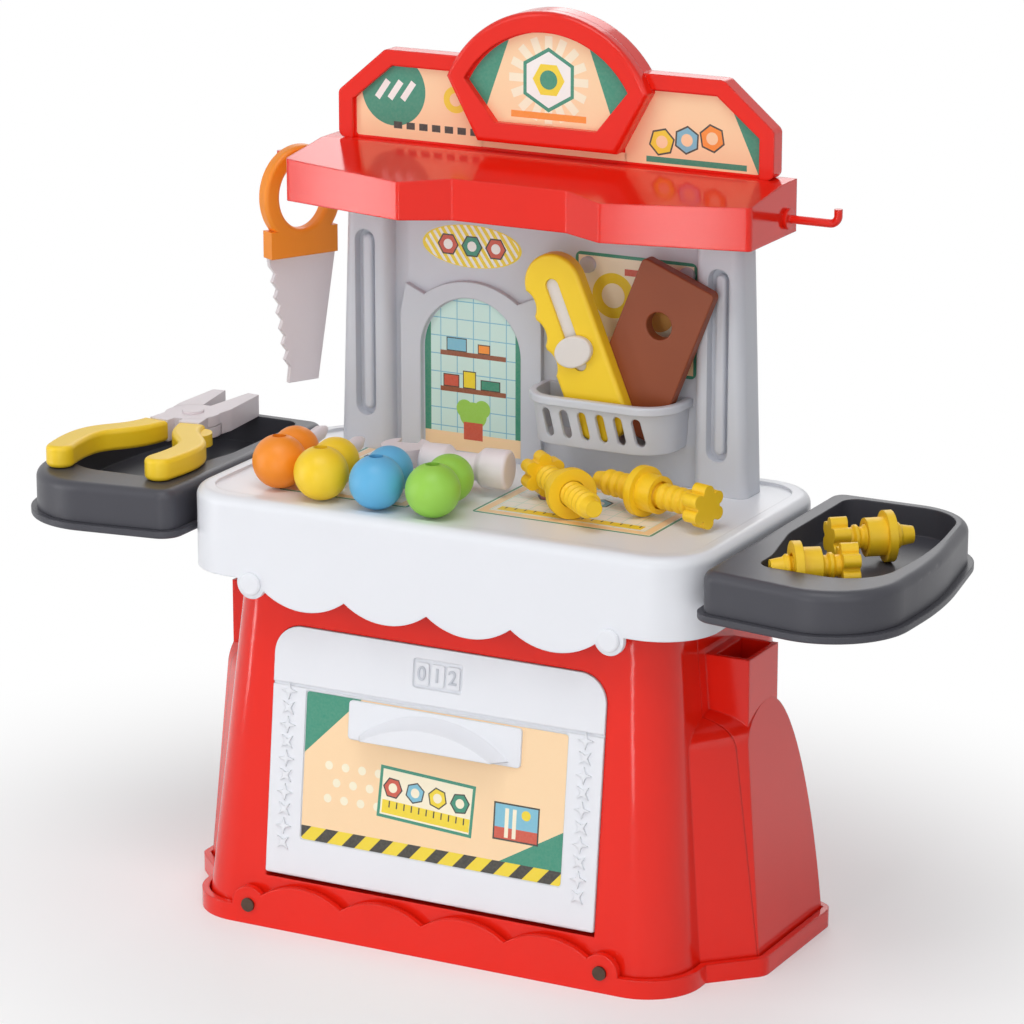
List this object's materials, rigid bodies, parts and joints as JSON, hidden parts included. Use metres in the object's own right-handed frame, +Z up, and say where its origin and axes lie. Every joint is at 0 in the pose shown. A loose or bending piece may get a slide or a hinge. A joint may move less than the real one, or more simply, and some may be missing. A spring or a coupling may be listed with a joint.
{
  "type": "toy workbench",
  "caption": "Toy workbench: cupboard base with a drop-down door, table with lift-off side trays, tool wall with basket, canopy and sign, and loose play tools, bolts and nuts.",
  "frame": {"origin": "middle of the flat underside of the base", "axes": "+X to the right seen from the front, +Y to the back, +Z up"},
  "size_m": [0.4604, 0.1658, 0.431],
  "materials": {
    "red_plastic": "gloss moulded",
    "white_plastic": "gloss moulded",
    "grey_plastic": "satin moulded",
    "charcoal_plastic": "gloss moulded",
    "dull_steel": "dull",
    "lilac_plastic": "satin moulded",
    "pale_plastic": "satin moulded",
    "orange_plastic": "satin moulded",
    "yellow_plastic": "satin moulded",
    "brown_plastic": "satin moulded",
    "blue_plastic": "satin moulded",
    "green_plastic": "satin moulded",
    "gold_plastic": "satin moulded"
  },
  "bodies": {
    "bench": {"base_tray": "red_plastic", "base_front_shell": "red_plastic", "base_rear_shell": "red_plastic", "plinth_screws": "dull_steel", "door_hinge_pins": "dull_steel", "table_top": "white_plastic", "table_pins": "white_plastic", "back_panel": "grey_plastic", "tool_basket": "grey_plastic", "canopy": "red_plastic", "sign_board": "red_plastic", "sign_medallion": "red_plastic", "right_hook": "red_plastic", "left_hook": "red_plastic"},
    "door": {"door_panel": "white_plastic", "door_liner": "white_plastic", "door_handle": "white_plastic"},
    "left_tray": {"left_tray": "charcoal_plastic", "left_tray_base": "charcoal_plastic"},
    "right_tray": {"right_tray": "charcoal_plastic", "right_tray_base": "charcoal_plastic"},
    "pliers_upper": {"pliers_upper_grip": "yellow_plastic", "pliers_upper_jaw": "lilac_plastic", "pliers_rivet": "lilac_plastic"},
    "pliers_lower": {"pliers_lower_grip": "yellow_plastic", "pliers_lower_jaw": "lilac_plastic"},
    "saw": {"saw_handle": "orange_plastic", "saw_blade": "lilac_plastic"},
    "knife": {"knife_body": "yellow_plastic", "knife_rail": "pale_plastic"},
    "knife_slider": {"knife_slider": "pale_plastic"},
    "plank": {"plank": "brown_plastic"},
    "orange_driver": {"orange_driver_handle": "orange_plastic", "orange_driver_shaft": "lilac_plastic"},
    "yellow_driver": {"yellow_driver_handle": "yellow_plastic", "yellow_driver_shaft": "lilac_plastic"},
    "spanner": {"spanner_handle": "blue_plastic", "spanner_head": "lilac_plastic"},
    "hammer": {"hammer_handle": "green_plastic", "hammer_head": "lilac_plastic"},
    "long_bolt_1": {"long_bolt_1": "gold_plastic"},
    "long_nut_1": {"long_nut_1": "gold_plastic"},
    "long_bolt_2": {"long_bolt_2": "gold_plastic"},
    "long_nut_2": {"long_nut_2": "gold_plastic"},
    "short_bolt_1": {"short_bolt_1": "gold_plastic"},
    "short_nut_1": {"short_nut_1": "gold_plastic"},
    "short_bolt_2": {"short_bolt_2": "gold_plastic"},
    "short_nut_2": {"short_nut_2": "gold_plastic"}
  },
  "joints": [
    {"name": "door_hinge", "type": "hinge", "parent": "bench", "child": "door", "pos_m": [0, -0.07066, 0.02958], "axis": [1, 0, 0], "range_deg": [0, 95]},
    {"name": "left_tray_lift", "type": "slide", "parent": "bench", "child": "left_tray", "axis": [0, 0, 1], "range_m": [0, 0.02]},
    {"name": "right_tray_lift", "type": "slide", "parent": "bench", "child": "right_tray", "axis": [0, 0, 1], "range_m": [0, 0.02]},
    {"name": "pliers_lift", "type": "slide", "parent": "left_tray", "child": "pliers_upper", "axis": [0, 0, 1], "range_m": [0, 0.02]},
    {"name": "pliers_pivot", "type": "hinge", "parent": "pliers_upper", "child": "pliers_lower", "pos_m": [-0.186, 0.024, 0.2138], "axis": [0, 0, 1], "range_deg": [-15, 10]},
    {"name": "saw_swing", "type": "hinge", "parent": "bench", "child": "saw", "pos_m": [-0.1385, 0.051, 0.343], "axis": [1, 0, 0], "range_deg": [-20, 20]},
    {"name": "knife_lift", "type": "slide", "parent": "bench", "child": "knife", "axis": [0, 0, 1], "range_m": [0, 0.024]},
    {"name": "knife_slider_slide", "type": "slide", "parent": "knife", "child": "knife_slider", "axis": [-0.3811, 0, 0.9245], "range_m": [0, 0.026]},
    {"name": "plank_lift", "type": "slide", "parent": "bench", "child": "plank", "axis": [0, 0, 1], "range_m": [0, 0.024]},
    {"name": "orange_driver_lift", "type": "slide", "parent": "bench", "child": "orange_driver", "axis": [0, 0, 1], "range_m": [0, 0.04]},
    {"name": "yellow_driver_lift", "type": "slide", "parent": "bench", "child": "yellow_driver", "axis": [0, 0, 1], "range_m": [0, 0.04]},
    {"name": "spanner_lift", "type": "slide", "parent": "bench", "child": "spanner", "axis": [0, 0, 1], "range_m": [0, 0.04]},
    {"name": "hammer_lift", "type": "slide", "parent": "bench", "child": "hammer", "axis": [0, 0, 1], "range_m": [0, 0.04]},
    {"name": "long_bolt_1_lift", "type": "slide", "parent": "bench", "child": "long_bolt_1", "axis": [0, 0, 1], "range_m": [0, 0.04]},
    {"name": "long_nut_1_spin", "type": "hinge", "parent": "long_bolt_1", "child": "long_nut_1", "pos_m": [0.027, -0.006, 0.2211], "axis": [0.7466, -0.6652, 0], "continuous": true},
    {"name": "long_bolt_2_lift", "type": "slide", "parent": "bench", "child": "long_bolt_2", "axis": [0, 0, 1], "range_m": [0, 0.04]},
    {"name": "long_nut_2_spin", "type": "hinge", "parent": "long_bolt_2", "child": "long_nut_2", "pos_m": [0.111, -0.018, 0.2211], "axis": [-0.9578, 0.2874, 0], "continuous": true},
    {"name": "short_bolt_1_lift", "type": "slide", "parent": "right_tray", "child": "short_bolt_1", "axis": [0, 0, 1], "range_m": [0, 0.04]},
    {"name": "short_nut_1_spin", "type": "hinge", "parent": "short_bolt_1", "child": "short_nut_1", "pos_m": [0.189, -0.0315, 0.2063], "axis": [-0.8141, -0.5807, 0], "continuous": true},
    {"name": "short_bolt_2_lift", "type": "slide", "parent": "right_tray", "child": "short_bolt_2", "axis": [0, 0, 1], "range_m": [0, 0.04]},
    {"name": "short_nut_2_spin", "type": "hinge", "parent": "short_bolt_2", "child": "short_nut_2", "pos_m": [0.174, 0.0095, 0.2063], "axis": [0.766, 0.6428, 0], "continuous": true}
  ]
}
